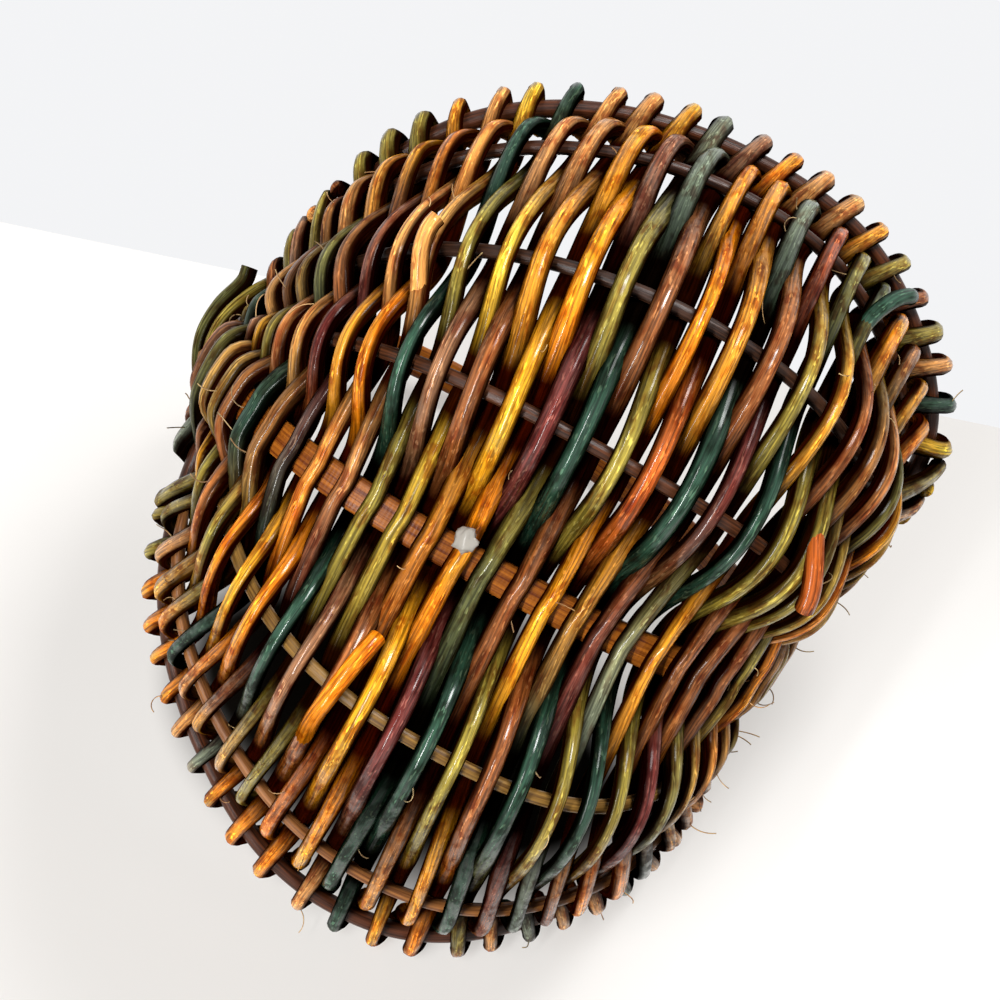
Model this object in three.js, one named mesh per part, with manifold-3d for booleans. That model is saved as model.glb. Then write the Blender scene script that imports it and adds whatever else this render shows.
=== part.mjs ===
// Ribbed two-lobed basket, the kind called a buttocks basket or egg basket.
// A round rim hoop and a flat handle hoop cross and are bound together. Ribs spring from the two
// crossings, and round reeds go over and under the rim, the ribs and the keel, which is the handle
// hoop's lower half. Millimetres, +Z up, X along the keel, Y across the two lobes.
import * as THREE from "three";
import Module from "manifold-3d";

// Hoops
const HALF_LENGTH = 79.3; // from the middle to the rim where the hoops cross
const RIM_ROD = 5; // thickness of the round rim
const BAND_WIDTH = 9.4; // the handle hoop is a flat bent band
const BAND_THICKNESS = 2.4;
const HANDLE_RISE = 97; // top of the handle above the rim
const HANDLE_FULLNESS = 0.9; // under 1 makes the handle's sides steep
const LASHING_ROD = 2.6; // binding at each crossing
const LASHING_SLACK = 0.7; // room that the binding's bends need beyond the hoops

// Ribs and reeds
const RIB_ROD = 3.8;
const RIB_POINT = 0.5; // whittled ends, as a share of the rib's thickness
const RIB_END = 2.3; // how far a rib goes on past the rows that hold it
const REED_WIDTH = 3; // along the rib it crosses
const REED_THICKNESS = 4; // from the inside of the basket to the outside
const REED_TAIL = 2.5; // a reed's end past the rim
const CLEARANCE = 0.55; // between a reed and what it passes
const PAIRS = 30; // reeds, each woven across and back
const FIRST_ROW = 0.074; // share of each line left bare at its ends
const WORN_FLAT = 1.2; // taken off the reeds the basket stands on

// Framework lines, in order across the basket. Each runs from one crossing of the hoops to the other.
// reach is how far out across Y it swings and drop how far below the rim. lean shifts its middle along
// the keel, swell widens it and shoulders square its two ends. fullness under 1 makes the ends steep, and
// a flat over 2 makes the middle level. joins is the first pair of rows, counted from each end, that the
// line is woven into, and carry is how far the rows are carried along it, as a share of its length.
const LINES = [
  {
    name: "rim", reach: 112.5, drop: 1, lean: -20.5, swell: 0.63, shoulders: [6.5, 2],
    fullness: 0.95, flat: 2, joins: 0, carry: 0.029,
  },
  {
    name: "rib_wide_1", reach: 107, drop: 34, lean: -15, swell: 0.21, shoulders: [4, 1],
    fullness: 0.71, flat: 2, joins: 4, carry: 0.0435,
  },
  {
    name: "rib_wide_2", reach: 83.5, drop: 91, lean: -10, swell: 0.2, shoulders: [2, 0.5],
    fullness: 0.77, flat: 2, joins: 0, carry: 0.055,
  },
  {
    name: "rib_wide_3", reach: 46, drop: 104, lean: -4, swell: 0.17, shoulders: [0, 0],
    fullness: 0.88, flat: 2.5, joins: 2, carry: 0.038,
  },
  {
    name: "keel", reach: 0, drop: 81, lean: 3, swell: 0.12, shoulders: [0, 0],
    fullness: 0.9, flat: 2.5, joins: 0, carry: 0,
  },
  {
    name: "rib_narrow_2", reach: -41, drop: 104, lean: -3, swell: 0.09, shoulders: [0, 0],
    fullness: 0.95, flat: 2.5, joins: 2, carry: 0.008,
  },
  {
    name: "rib_narrow_1", reach: -102, drop: 37, lean: -19, swell: 0.21, shoulders: [2.5, 2.5],
    fullness: 0.83, flat: 2, joins: 3, carry: 0,
  },
  {
    name: "rim", reach: -126, drop: 3, lean: -23, swell: 0.31, shoulders: [4, 4],
    fullness: 1, flat: 2, joins: 0, carry: -0.0075,
  },
];

// How finely curves are followed
const TRACE_STEPS = 360;
const RIM_STEPS = 40;
const BAND_STEPS = 36;
const RIB_STEPS = 22;
const LASHING_STEPS = 12;
const LONG_SPAN = 36; // between two ribs, a longer stretch of reed gets one more point
const HOOK_TURNS = [190, 130, 65]; // degrees round the rim, where a reed starts
const RIM_TURNS = [45, 90, 135]; // degrees round the rim, where a reed turns back

const wasm = await Module();
wasm.setup();
const vec = (x, y, z) => new THREE.Vector3(x, y, z);
const INSIDE = vec(-5, 0, -35);
const ROWS = 2 * PAIRS;
const KEEL_AT = LINES.findIndex((line) => line.name === "keel");
const HOOP_HALF = HALF_LENGTH + RIM_ROD / 2 + BAND_THICKNESS / 2 + 2 * CLEARANCE;

const SHOULDER_SCALE = 1.5 * Math.sqrt(3); // makes a shoulder stand out by its given size

// A framework line as closely spaced points, with the length run at each of them.
function tracePath(line) {
  const half = line.name === "keel" ? HOOP_HALF : HALF_LENGTH;
  const points = [];
  const run = [0];
  for (let i = 0; i <= TRACE_STEPS; i++) {
    const turn = (Math.PI * i) / TRACE_STEPS;
    const side = Math.sin(turn);
    const along = Math.cos(turn);
    const shoulder = along > 0 ? -line.shoulders[0] : line.shoulders[1];
    const corner = SHOULDER_SCALE * Math.sin(2 * turn) ** 2 * Math.cos(2 * turn);
    const x = -half * along * (1 + line.swell * side * side) + line.lean * side + shoulder * corner;
    const depth = Math.pow(Math.max(0, 1 - Math.pow(Math.abs(along), line.flat)), line.fullness / 2);
    points.push(vec(x, line.reach * depth, -line.drop * depth));
    if (i) run.push(run[i - 1] + points[i].distanceTo(points[i - 1]));
  }
  return { points, run, length: run[TRACE_STEPS] };
}
const PATHS = LINES.map(tracePath);

// The point at a share of a line's length.
function pointAlong(path, share) {
  const goal = share * path.length;
  let i = 1;
  while (i < path.run.length - 1 && path.run[i] < goal) i++;
  const part = (goal - path.run[i - 1]) / (path.run[i] - path.run[i - 1]);
  return path.points[i - 1].clone().lerp(path.points[i], part);
}

const rowShare = (row) => FIRST_ROW + ((1 - 2 * FIRST_ROW) * row) / (ROWS - 1);
const lineShare = (share, at) => share + LINES[at].carry * (1 - Math.pow(2 * share - 1, 4));

// A solid from rings of points. The rings join up end to end, or are closed by two caps.
function solidFromRings(rings, closed) {
  const sides = rings[0].length;
  const position = [];
  const index = [];
  rings.forEach((ring) => ring.forEach((p) => position.push(p.x, p.y, p.z)));
  const joins = closed ? rings.length : rings.length - 1;
  for (let r = 0; r < joins; r++) {
    const next = (r + 1) % rings.length;
    for (let s = 0; s < sides; s++) {
      const t = (s + 1) % sides;
      const a = r * sides + s;
      const b = r * sides + t;
      const c = next * sides + t;
      const d = next * sides + s;
      index.push(a, b, c, a, c, d);
    }
  }
  const last = (rings.length - 1) * sides;
  if (!closed) {
    for (let s = 1; s < sides - 1; s++) {
      index.push(0, s + 1, s);
      index.push(last, last + s, last + s + 1);
    }
  }
  const geometry = new THREE.BufferGeometry();
  geometry.setAttribute("position", new THREE.Float32BufferAttribute(position, 3));
  geometry.setIndex(index);
  return geometry;
}

// Rings of a rod along a path. across is the direction of the section's width at each point.
function rodRings(path, width, thickness, sides, closed, size) {
  const count = path.length;
  return path.map((point, i) => {
    const before = path[closed ? (i + count - 1) % count : Math.max(0, i - 1)].at;
    const after = path[closed ? (i + 1) % count : Math.min(count - 1, i + 1)].at;
    const ahead = after.clone().sub(before).normalize();
    const across = point.across.clone();
    across.addScaledVector(ahead, -across.dot(ahead)).normalize();
    const up = ahead.clone().cross(across);
    const scale = size ? size(i, count) : 1;
    const ring = [];
    for (let s = 0; s < sides; s++) {
      const turn = (2 * Math.PI * (s + 0.5)) / sides;
      const w = (Math.cos(turn) * width * scale) / 2;
      const t = (Math.sin(turn) * thickness * scale) / 2;
      ring.push(point.at.clone().addScaledVector(across, w).addScaledVector(up, t));
    }
    return ring;
  });
}

const group = new THREE.Group();
group.name = "buttocks_basket";
function add(name, geometry, colour, roughness) {
  const material = new THREE.MeshStandardMaterial({ color: colour, roughness });
  const mesh = new THREE.Mesh(geometry, material);
  mesh.name = name;
  group.add(mesh);
  return mesh;
}

// Rim hoop: one round rod, steamed and bent, its two halves following the wide and the narrow lobe.
const rimPath = [];
for (let i = 0; i < RIM_STEPS; i++) {
  rimPath.push({ at: pointAlong(PATHS[0], i / RIM_STEPS), across: vec(0, 0, 1) });
}
for (let i = 0; i < RIM_STEPS; i++) {
  const at = pointAlong(PATHS[LINES.length - 1], 1 - i / RIM_STEPS);
  rimPath.push({ at, across: vec(0, 0, 1) });
}
add("rim_hoop", solidFromRings(rodRings(rimPath, RIM_ROD, RIM_ROD, 6, true), true), 0x6a3b1c, 0.5);

// Handle hoop: a flat band bent to a closed loop. Its lower half is the keel, its upper half the handle.
const bandMiddle = [];
for (let i = 0; i < BAND_STEPS; i++) bandMiddle.push(pointAlong(PATHS[KEEL_AT], i / BAND_STEPS));
for (let i = 0; i < BAND_STEPS; i++) {
  const turn = (Math.PI * i) / BAND_STEPS;
  const rise = HANDLE_RISE * Math.pow(Math.sin(turn), HANDLE_FULLNESS);
  bandMiddle.push(vec(HOOP_HALF * Math.cos(turn), 0, rise));
}
const bandRings = bandMiddle.map((middle, i) => {
  const before = bandMiddle[(i + bandMiddle.length - 1) % bandMiddle.length];
  const after = bandMiddle[(i + 1) % bandMiddle.length];
  const ahead = after.clone().sub(before).normalize();
  const out = vec(0, 1, 0).cross(ahead).multiplyScalar(BAND_THICKNESS / 2);
  const edge = vec(0, BAND_WIDTH / 2, 0);
  return [
    middle.clone().add(edge).add(out),
    middle.clone().add(edge).sub(out),
    middle.clone().sub(edge).sub(out),
    middle.clone().sub(edge).add(out),
  ];
});
add("handle_hoop", solidFromRings(bandRings, true), 0xa9622a, 0.45);

// Ribs: round rods whittled to points, pushed in beside the rows that first hold them.
LINES.forEach((line, at) => {
  if (!line.name.startsWith("rib")) return;
  const path = PATHS[at];
  const spare = RIB_END / path.length;
  const from = lineShare(rowShare(2 * line.joins), at) - spare;
  const to = lineShare(rowShare(ROWS - 1 - 2 * line.joins), at) + spare;
  const rod = [];
  for (let i = 0; i <= RIB_STEPS; i++) {
    const here = pointAlong(path, from + ((to - from) * i) / RIB_STEPS);
    rod.push({ at: here, across: here.clone().sub(INSIDE) });
  }
  const whittled = (i, count) => (i === 0 || i === count - 1 ? RIB_POINT : 1);
  const rings = rodRings(rod, RIB_ROD, RIB_ROD, 6, false, whittled);
  add(line.name, solidFromRings(rings, false), 0x7a4a24, 0.5);
});

// Lashings: at each crossing two loops of thin reed go corner to corner round the rim and the band.
for (const [name, end] of [["lashing_1", -1], ["lashing_2", 1]]) {
  const inner = HALF_LENGTH - RIM_ROD / 2 - CLEARANCE - LASHING_ROD / 2;
  const outer = HOOP_HALF + BAND_THICKNESS / 2 + CLEARANCE + LASHING_ROD / 2;
  const depth = (outer - inner) / 2 + LASHING_SLACK;
  const spread = (BAND_WIDTH / 2 + LASHING_ROD / 2 + CLEARANCE + LASHING_SLACK) * Math.SQRT2;
  const solids = [-1, 1].map((slope) => {
    const loop = [];
    for (let i = 0; i < LASHING_STEPS; i++) {
      const turn = (2 * Math.PI * i) / LASHING_STEPS;
      const square = Math.pow(Math.cos(turn) ** 4 + Math.sin(turn) ** 4, -0.25);
      const out = ((outer + inner) / 2 + depth * Math.cos(turn) * square) * end;
      const diagonal = (spread * Math.sin(turn) * square) / Math.SQRT2;
      loop.push({ at: vec(out, diagonal * slope, diagonal), across: vec(0, 1, -slope) });
    }
    return toManifold(solidFromRings(rodRings(loop, LASHING_ROD, LASHING_ROD, 5, true), true));
  });
  add(name, fromManifold(solids[0].add(solids[1])), 0x8a5a2c, 0.55);
}

function toManifold(geometry) {
  const mesh = new wasm.Mesh({
    numProp: 3,
    vertProperties: new Float32Array(geometry.getAttribute("position").array),
    triVerts: new Uint32Array(geometry.index.array),
  });
  const solid = new wasm.Manifold(mesh);
  if (solid.volume() > 0) return solid;
  const flipped = Array.from(geometry.index.array).reverse();
  geometry.setIndex(flipped);
  mesh.triVerts = new Uint32Array(flipped);
  return new wasm.Manifold(mesh);
}

function fromManifold(solid) {
  const mesh = solid.getMesh();
  const geometry = new THREE.BufferGeometry();
  geometry.setAttribute("position", new THREE.Float32BufferAttribute(mesh.vertProperties, 3));
  geometry.setIndex(Array.from(mesh.triVerts));
  return geometry;
}

// The stops of one row, in order across: each line that is woven there, the keel with both its edges.
function stopsFor(pair) {
  const fromEnd = Math.min(pair, PAIRS - 1 - pair);
  const stops = [];
  LINES.forEach((line, at) => {
    if (line.joins > fromEnd) return;
    if (at === KEEL_AT) {
      stops.push({ at, edge: BAND_WIDTH / 2 + CLEARANCE, half: BAND_THICKNESS / 2 });
      stops.push({ at, edge: -BAND_WIDTH / 2 - CLEARANCE, half: BAND_THICKNESS / 2, same: true });
    } else {
      stops.push({ at, edge: 0, half: (line.name === "rim" ? RIM_ROD : RIB_ROD) / 2 });
    }
  });
  return stops;
}

// The middle line of a row before it goes in and out, a curve through its stops.
function rowCurve(stops, share) {
  const points = stops.map((stop) => {
    const point = pointAlong(PATHS[stop.at], lineShare(share, stop.at));
    point.y += stop.edge;
    return point;
  });
  return new THREE.CatmullRomCurve3(points, false, "centripetal");
}

// One row of weaving. outside says whether it passes outside the keel.
function weaveRow(pair, row, outside) {
  const stops = stopsFor(pair);
  const share = rowShare(row);
  const nudge = 0.3 / ROWS;
  const bit = 0.004;
  const curve = rowCurve(stops, share);
  const before = rowCurve(stops, share - nudge);
  const after = rowCurve(stops, share + nudge);
  const spans = stops.length - 1;
  const keel = stops.findIndex((stop) => stop.at === KEEL_AT);
  let sign = outside ? 1 : -1;
  const signs = [];
  for (let i = keel; i >= 0; i--) {
    signs[i] = sign;
    sign = -sign;
  }
  sign = outside ? 1 : -1;
  for (let i = keel + 1; i <= spans; i++) {
    signs[i] = stops[i].same ? sign : (sign = -sign);
  }
  const swing = stops.map((stop, i) => signs[i] * (stop.half + CLEARANCE + REED_THICKNESS / 2));
  const frameAt = (u) => {
    const at = curve.getPoint(u / spans);
    const ahead = curve.getPoint(Math.min(1, u / spans + bit));
    ahead.sub(curve.getPoint(Math.max(0, u / spans - bit)));
    const across = after.getPoint(u / spans).sub(before.getPoint(u / spans)).normalize();
    const out = ahead.clone().cross(across).normalize();
    const stop = stops[Math.round(u)];
    const onBand = stop.at === KEEL_AT && Math.abs(u - Math.round(u)) < 1e-6;
    if (onBand) out.setY(0).normalize();
    if (out.dot(at.clone().sub(INSIDE)) < 0) out.negate();
    return { at, ahead: ahead.normalize(), across, out };
  };
  const points = [];
  for (let i = 0; i < spans; i++) {
    const long = curve.getPoint(i / spans).distanceTo(curve.getPoint((i + 1) / spans));
    const pieces = stops[i + 1].same ? 1 : long > LONG_SPAN ? 3 : 2;
    for (let j = 0; j < pieces; j++) {
      const part = j / pieces;
      const frame = frameAt(i + part);
      const ease = (1 - Math.cos(Math.PI * part)) / 2;
      const reach = swing[i] * (1 - ease) + swing[i + 1] * ease;
      points.push({ at: frame.at.clone().addScaledVector(frame.out, reach), across: frame.across });
    }
  }
  const first = frameAt(0);
  const final = frameAt(spans);
  points.push({ at: final.at.clone().addScaledVector(final.out, swing[spans]), across: final.across });
  first.ahead.negate();
  return { points, first, final, firstSwing: swing[0], finalSwing: swing[spans] };
}

// A point on the way round the rim, turned by an angle from where a row meets it.
function roundRim(frame, swing, degrees) {
  const turn = THREE.MathUtils.degToRad(degrees);
  const up = frame.across.clone().cross(frame.out);
  if (up.dot(frame.ahead) < 0) up.negate();
  const at = frame.at.clone();
  at.addScaledVector(frame.out, swing * Math.cos(turn));
  at.addScaledVector(up, Math.abs(swing) * Math.sin(turn));
  return { at, across: frame.across };
}

function between(a, b, part) {
  return {
    at: a.at.clone().lerp(b.at, part),
    out: a.out.clone().lerp(b.out, part).normalize(),
    ahead: a.ahead.clone().lerp(b.ahead, part).normalize(),
    across: a.across.clone().lerp(b.across, part).normalize(),
  };
}

// Weavers: each reed hooks over the rim, goes across, turns round the far rim and comes back.
const DYES = {
  olive: 0x6f6a2a,
  ochre: 0xc8871f,
  orange: 0xd07a1e,
  brown: 0x8b4f22,
  plum: 0x6d3540,
  green: 0x2f4a3a,
};
const DYE_ORDER = [
  "olive brown green plum orange olive ochre green orange olive",
  "brown plum green orange brown green orange plum olive ochre",
  "brown orange green ochre olive green brown plum olive green",
]
  .join(" ")
  .split(" ");
const weavers = [];
for (let pair = 0; pair < PAIRS; pair++) {
  const out = weaveRow(pair, 2 * pair, true);
  const back = weaveRow(pair, 2 * pair + 1, false);
  const path = [];
  for (const degrees of HOOK_TURNS) path.push(roundRim(out.first, out.firstSwing, degrees));
  path.push(...out.points);
  for (const degrees of RIM_TURNS) {
    path.push(roundRim(between(out.final, back.final, degrees / 180), out.finalSwing, degrees));
  }
  path.push(...back.points.reverse());
  const end = path[path.length - 1];
  path.push({ at: end.at.clone().addScaledVector(back.first.ahead, REED_TAIL), across: end.across });
  const rings = rodRings(path, REED_WIDTH, REED_THICKNESS, 5, false);
  const name = "weaver_" + String(pair + 1).padStart(2, "0");
  weavers.push(add(name, solidFromRings(rings, false), DYES[DYE_ORDER[pair]], 0.4));
}

// The lowest reeds are worn level where the basket stands.
const whole = new THREE.Box3().setFromObject(group);
const floor = whole.min.z + WORN_FLAT;
for (const weaver of weavers) {
  weaver.geometry.computeBoundingBox();
  if (weaver.geometry.boundingBox.min.z > floor) continue;
  weaver.geometry = fromManifold(toManifold(weaver.geometry).trimByPlane([0, 0, 1], floor));
}

// The frame: the middle of the base is the origin.
const box = new THREE.Box3().setFromObject(group);
const middle = box.getCenter(vec(0, 0, 0));
group.children.forEach((mesh) => mesh.geometry.translate(-middle.x, -middle.y, -floor));

export default group;
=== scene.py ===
# A two-lobed ribbed basket woven of dyed and varnished round reed, tipped over so that its underside shows.
import math
import random
from collections import namedtuple

import bmesh
import bpy
from mathutils import Matrix, Quaternion, Vector, noise


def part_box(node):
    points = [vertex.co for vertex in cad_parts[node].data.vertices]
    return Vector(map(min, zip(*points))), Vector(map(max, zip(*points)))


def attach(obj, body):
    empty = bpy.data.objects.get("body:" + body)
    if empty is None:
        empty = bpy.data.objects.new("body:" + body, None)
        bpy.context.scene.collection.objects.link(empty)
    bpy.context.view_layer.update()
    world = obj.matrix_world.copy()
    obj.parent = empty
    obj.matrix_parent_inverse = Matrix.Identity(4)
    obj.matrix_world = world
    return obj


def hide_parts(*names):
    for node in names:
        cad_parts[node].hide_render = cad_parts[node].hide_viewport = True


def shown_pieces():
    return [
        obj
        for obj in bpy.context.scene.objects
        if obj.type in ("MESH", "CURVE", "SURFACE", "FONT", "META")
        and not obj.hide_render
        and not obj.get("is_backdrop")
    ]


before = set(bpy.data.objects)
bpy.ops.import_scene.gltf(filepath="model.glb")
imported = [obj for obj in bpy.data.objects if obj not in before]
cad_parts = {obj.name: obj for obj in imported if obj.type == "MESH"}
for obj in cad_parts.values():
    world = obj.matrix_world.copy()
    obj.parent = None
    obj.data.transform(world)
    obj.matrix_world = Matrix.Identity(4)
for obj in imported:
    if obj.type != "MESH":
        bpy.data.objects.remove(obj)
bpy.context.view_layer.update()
scene = bpy.context.scene

# Rim hoop. One round rod of dark wood, steamed and bent to a lopsided egg, which the reeds hook over.
# The two lines that it follows belong to a set of eight that run from one crossing of the hoops to the
# other, and that shape the keel, the ribs and the weave as well.
Line = namedtuple("Line", "name reach drop lean swell shoulders fullness flat joins carries")
# reach goes out across the basket, drop down from the rim, lean and swell along the keel. joins is the first
# pair of rows that passes the line, and carries shift the rows along it, near each of its ends.
LINES = [
    Line("rim_wide", 0.1125, 0.001, -0.0205, 0.63, (0.0065, 0.002), 0.95, 2.0, 0, (0.029, 0.029)),
    Line("rib_wide_1", 0.107, 0.034, -0.015, 0.21, (0.004, 0.001), 0.71, 2.0, 4, (0.0435, 0.0435)),
    Line("rib_wide_2", 0.0835, 0.091, -0.010, 0.20, (0.002, 0.0005), 0.77, 2.0, 0, (0.055, 0.055)),
    Line("rib_wide_3", 0.046, 0.104, -0.004, 0.17, (0.0, 0.0), 0.88, 2.5, 2, (0.038, 0.038)),
    Line("keel", 0.0, 0.081, 0.003, 0.12, (0.0, 0.0), 0.90, 2.5, 0, (0.006, 0.018)),
    Line("rib_narrow_2", -0.041, 0.104, -0.003, 0.09, (0.0, 0.0), 0.95, 2.5, 2, (0.02, 0.012)),
    Line("rib_narrow_1", -0.102, 0.037, -0.019, 0.21, (0.0025, 0.0025), 0.83, 2.0, 3, (-0.018, 0.026)),
    Line("rim_narrow", -0.126, 0.003, -0.023, 0.31, (0.004, 0.004), 1.0, 2.0, 0, (-0.025, 0.015)),
]
KEEL = 4
HALF_LENGTH = 0.0793
SHOULDER_SCALE = 1.5 * math.sqrt(3)
RIM_ROD = 0.005
RIM_STEPS = 420
RIM_SIDES = 16
HANDLE_RISE = 0.097
BAND_THICKNESS = 0.0024
band_low, band_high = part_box("handle_hoop")
BAND_WIDTH = band_high.y - band_low.y
BAND_HALF_LENGTH = (band_high.x - band_low.x - BAND_THICKNESS) / 2
RIM_MIDDLE = (band_low + band_high) / 2
RIM_MIDDLE.z = band_high.z - HANDLE_RISE - BAND_THICKNESS / 2
BASKET_MIDDLE = RIM_MIDDLE + Vector((-0.005, 0, -0.035))
TRACE_STEPS = 400


def evenly(points, count):
    """The same path with its points a steady distance apart."""
    runs = [0.0]
    for before, after in zip(points, points[1:]):
        runs.append(runs[-1] + (after - before).length)
    spaced = []
    i = 1
    for step in range(count + 1):
        goal = runs[-1] * step / count
        while i < len(points) - 1 and runs[i] < goal:
            i += 1
        share = (goal - runs[i - 1]) / (runs[i] - runs[i - 1])
        spaced.append(points[i - 1].lerp(points[i], share))
    return spaced


def trace(line):
    """A framework line, from one crossing of the hoops to the other."""
    half = BAND_HALF_LENGTH if line.name == "keel" else HALF_LENGTH
    points = []
    for step in range(TRACE_STEPS + 1):
        turn = math.pi * step / TRACE_STEPS
        side = math.sin(turn)
        along = math.cos(turn)
        depth = max(0.0, 1 - abs(along) ** line.flat) ** (line.fullness / 2)
        shoulder = -line.shoulders[0] if along > 0 else line.shoulders[1]
        corner = SHOULDER_SCALE * math.sin(2 * turn) ** 2 * math.cos(2 * turn)
        x = line.lean * side - half * along * (1 + line.swell * side * side) + shoulder * corner
        points.append(RIM_MIDDLE + Vector((x, line.reach * depth, -line.drop * depth)))
    return evenly(points, TRACE_STEPS)


def eased(value):
    """A value held between 0 and 1, slow to leave the one and to reach the other."""
    held = min(max(value, 0.0), 1.0)
    return held * held * (3 - 2 * held)


def point_at(path, share):
    """The point at a share of an evenly spaced path."""
    place = min(max(share, 0.0), 1.0) * (len(path) - 1)
    i = min(int(place), len(path) - 2)
    return path[i].lerp(path[i + 1], place - i)


Station = namedtuple("Station", "at across up half_width half_thickness along")


def stations_along(points, across_at, half_width, half_thickness, closed=False, twist=0.0):
    """Section frames along a path. across_at gives the direction of the section's width at each point."""
    count = len(points)
    found = []
    run = 0.0
    for i, point in enumerate(points):
        before = points[(i - 1) % count] if closed else points[max(0, i - 1)]
        after = points[(i + 1) % count] if closed else points[min(count - 1, i + 1)]
        ahead = (after - before).normalized()
        across = across_at(i)
        across = (across - ahead * across.dot(ahead)).normalized()
        across = Quaternion(ahead, twist * run) @ across
        if i:
            run += (point - points[i - 1]).length
        found.append(Station(point, across, ahead.cross(across), half_width, half_thickness, run))
    return found


def roll_rod(stations, sides, closed=False, square=2.0, shape=None, dye=None):
    """A rod's mesh: a flat grid rolled up round the stations, its seam merged and its ends closed.
    square over 2 makes the section boxy. straight keeps where each point lay before the rod was bent."""
    rod = bmesh.new()
    straight = rod.verts.layers.float_vector.new("straight")
    colour = rod.verts.layers.float_color.new("dye") if dye else None
    rings = len(stations) if closed else len(stations) - 1
    bmesh.ops.create_grid(rod, x_segments=rings, y_segments=sides, size=0.5)
    for vert in rod.verts:
        ring = round((vert.co.x + 0.5) * rings)
        turn = 2 * math.pi * round((vert.co.y + 0.5) * sides) / sides
        station = stations[ring % len(stations)]
        cosine = math.cos(turn)
        sine = math.sin(turn)
        bulge = (abs(cosine) ** square + abs(sine) ** square) ** (-1 / square)
        if shape:
            bulge *= shape(station.along, turn)
        wide = station.half_width * cosine * bulge
        thick = station.half_thickness * sine * bulge
        vert.co = station.at + station.across * wide + station.up * thick
        vert[straight] = Vector((station.along, wide, thick))
        if dye:
            vert[colour] = dye(ring % len(stations), turn)
    bmesh.ops.remove_doubles(rod, verts=rod.verts, dist=1e-6)
    for face in rod.faces:
        face.smooth = True
    if not closed:
        open_edges = [edge for edge in rod.edges if edge.is_boundary]
        bmesh.ops.holes_fill(rod, edges=open_edges, sides=0)
    bmesh.ops.recalc_face_normals(rod, faces=rod.faces)
    return rod


def join(rod, extra):
    """Adds one rod's mesh to another."""
    mesh = bpy.data.meshes.new("joined")
    extra.to_mesh(mesh)
    extra.free()
    rod.from_mesh(mesh)
    bpy.data.meshes.remove(mesh)


def finish_piece(name, rod, material, node):
    """Puts a mesh into the scene as a piece of the basket, in place of the node that it stands for."""
    mesh = bpy.data.meshes.new(name)
    rod.to_mesh(mesh)
    rod.free()
    mesh.materials.append(material)
    piece = bpy.data.objects.new(name, mesh)
    scene.collection.objects.link(piece)
    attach(piece, "root")
    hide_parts(node)


def add_node(tree, kind, inputs=None, **settings):
    """A shader node with its settings and its input values."""
    made = tree.nodes.new("ShaderNode" + kind)
    for name, value in settings.items():
        setattr(made, name, value)
    for name, value in (inputs or {}).items():
        made.inputs[name].default_value = value
    return made


def build_fibre_group():
    """Wood fibres that run along a rod, read from where each point lay before the rod was bent."""
    group = bpy.data.node_groups.new("long_fibres", "ShaderNodeTree")
    group.interface.new_socket("Straight", in_out="INPUT", socket_type="NodeSocketVector")
    group.interface.new_socket("Fineness", in_out="INPUT", socket_type="NodeSocketFloat")
    for output in ("Fibre", "Mottle", "Speck"):
        group.interface.new_socket(output, in_out="OUTPUT", socket_type="NodeSocketFloat")
    start = group.nodes.new("NodeGroupInput")
    end = group.nodes.new("NodeGroupOutput")
    link = group.links.new
    stretches = {"Fibre": (45, 1500, 1500), "Mottle": (120, 330, 330), "Speck": (340, 1250, 1250)}
    details = {"Fibre": 3.0, "Mottle": 2.0, "Speck": 1.0}
    for output, stretch in stretches.items():
        scaled = add_node(group, "VectorMath", operation="MULTIPLY")
        scaled.inputs[1].default_value = stretch
        finer = add_node(group, "VectorMath", operation="SCALE")
        grain = add_node(group, "TexNoise", {"Scale": 1.0, "Detail": details[output], "Roughness": 0.6})
        link(start.outputs["Straight"], scaled.inputs[0])
        link(scaled.outputs["Vector"], finer.inputs[0])
        link(start.outputs["Fineness"], finer.inputs["Scale"])
        link(finer.outputs["Vector"], grain.inputs["Vector"])
        link(grain.outputs["Fac"], end.inputs[output])
    return group


long_fibres = build_fibre_group()


def wood_material(name, pale, dark, fineness=1.0, roughness=0.34, gloss=0.25, bump=0.5):
    """Stained wood: pale and dark fibres along the rod, under a thin varnish."""
    material = bpy.data.materials.new(name)
    material.use_nodes = True
    tree = material.node_tree
    shader = tree.nodes["Principled BSDF"]
    shader.inputs["Specular IOR Level"].default_value = gloss
    straight = add_node(tree, "Attribute", attribute_name="straight")
    fibres = add_node(tree, "Group", node_tree=long_fibres)
    fibres.inputs["Fineness"].default_value = fineness
    tint = add_node(tree, "ValToRGB")
    tint.color_ramp.elements[0].position = 0.36
    tint.color_ramp.elements[0].color = (*dark, 1)
    tint.color_ramp.elements[1].position = 0.66
    tint.color_ramp.elements[1].color = (*pale, 1)
    rough = add_node(tree, "MapRange", {"To Min": roughness - 0.12, "To Max": roughness + 0.14})
    relief = add_node(tree, "Bump", {"Strength": bump, "Distance": 0.0004})
    tree.links.new(straight.outputs["Vector"], fibres.inputs["Straight"])
    tree.links.new(fibres.outputs["Fibre"], tint.inputs["Fac"])
    tree.links.new(tint.outputs["Color"], shader.inputs["Base Color"])
    tree.links.new(fibres.outputs["Mottle"], rough.inputs["Value"])
    tree.links.new(rough.outputs["Result"], shader.inputs["Roughness"])
    tree.links.new(fibres.outputs["Fibre"], relief.inputs["Height"])
    tree.links.new(relief.outputs["Normal"], shader.inputs["Normal"])
    return material


paths = [trace(line) for line in LINES]
rim_points = paths[0][:-1] + paths[-1][:0:-1]
rim_points = evenly(rim_points + rim_points[:1], RIM_STEPS)[:-1]
rim_stations = stations_along(rim_points, lambda i: Vector((0, 0, 1)), RIM_ROD / 2, RIM_ROD / 2, closed=True)
rim_wood = wood_material("rim_wood", (0.12, 0.034, 0.012), (0.025, 0.008, 0.004))


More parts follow.
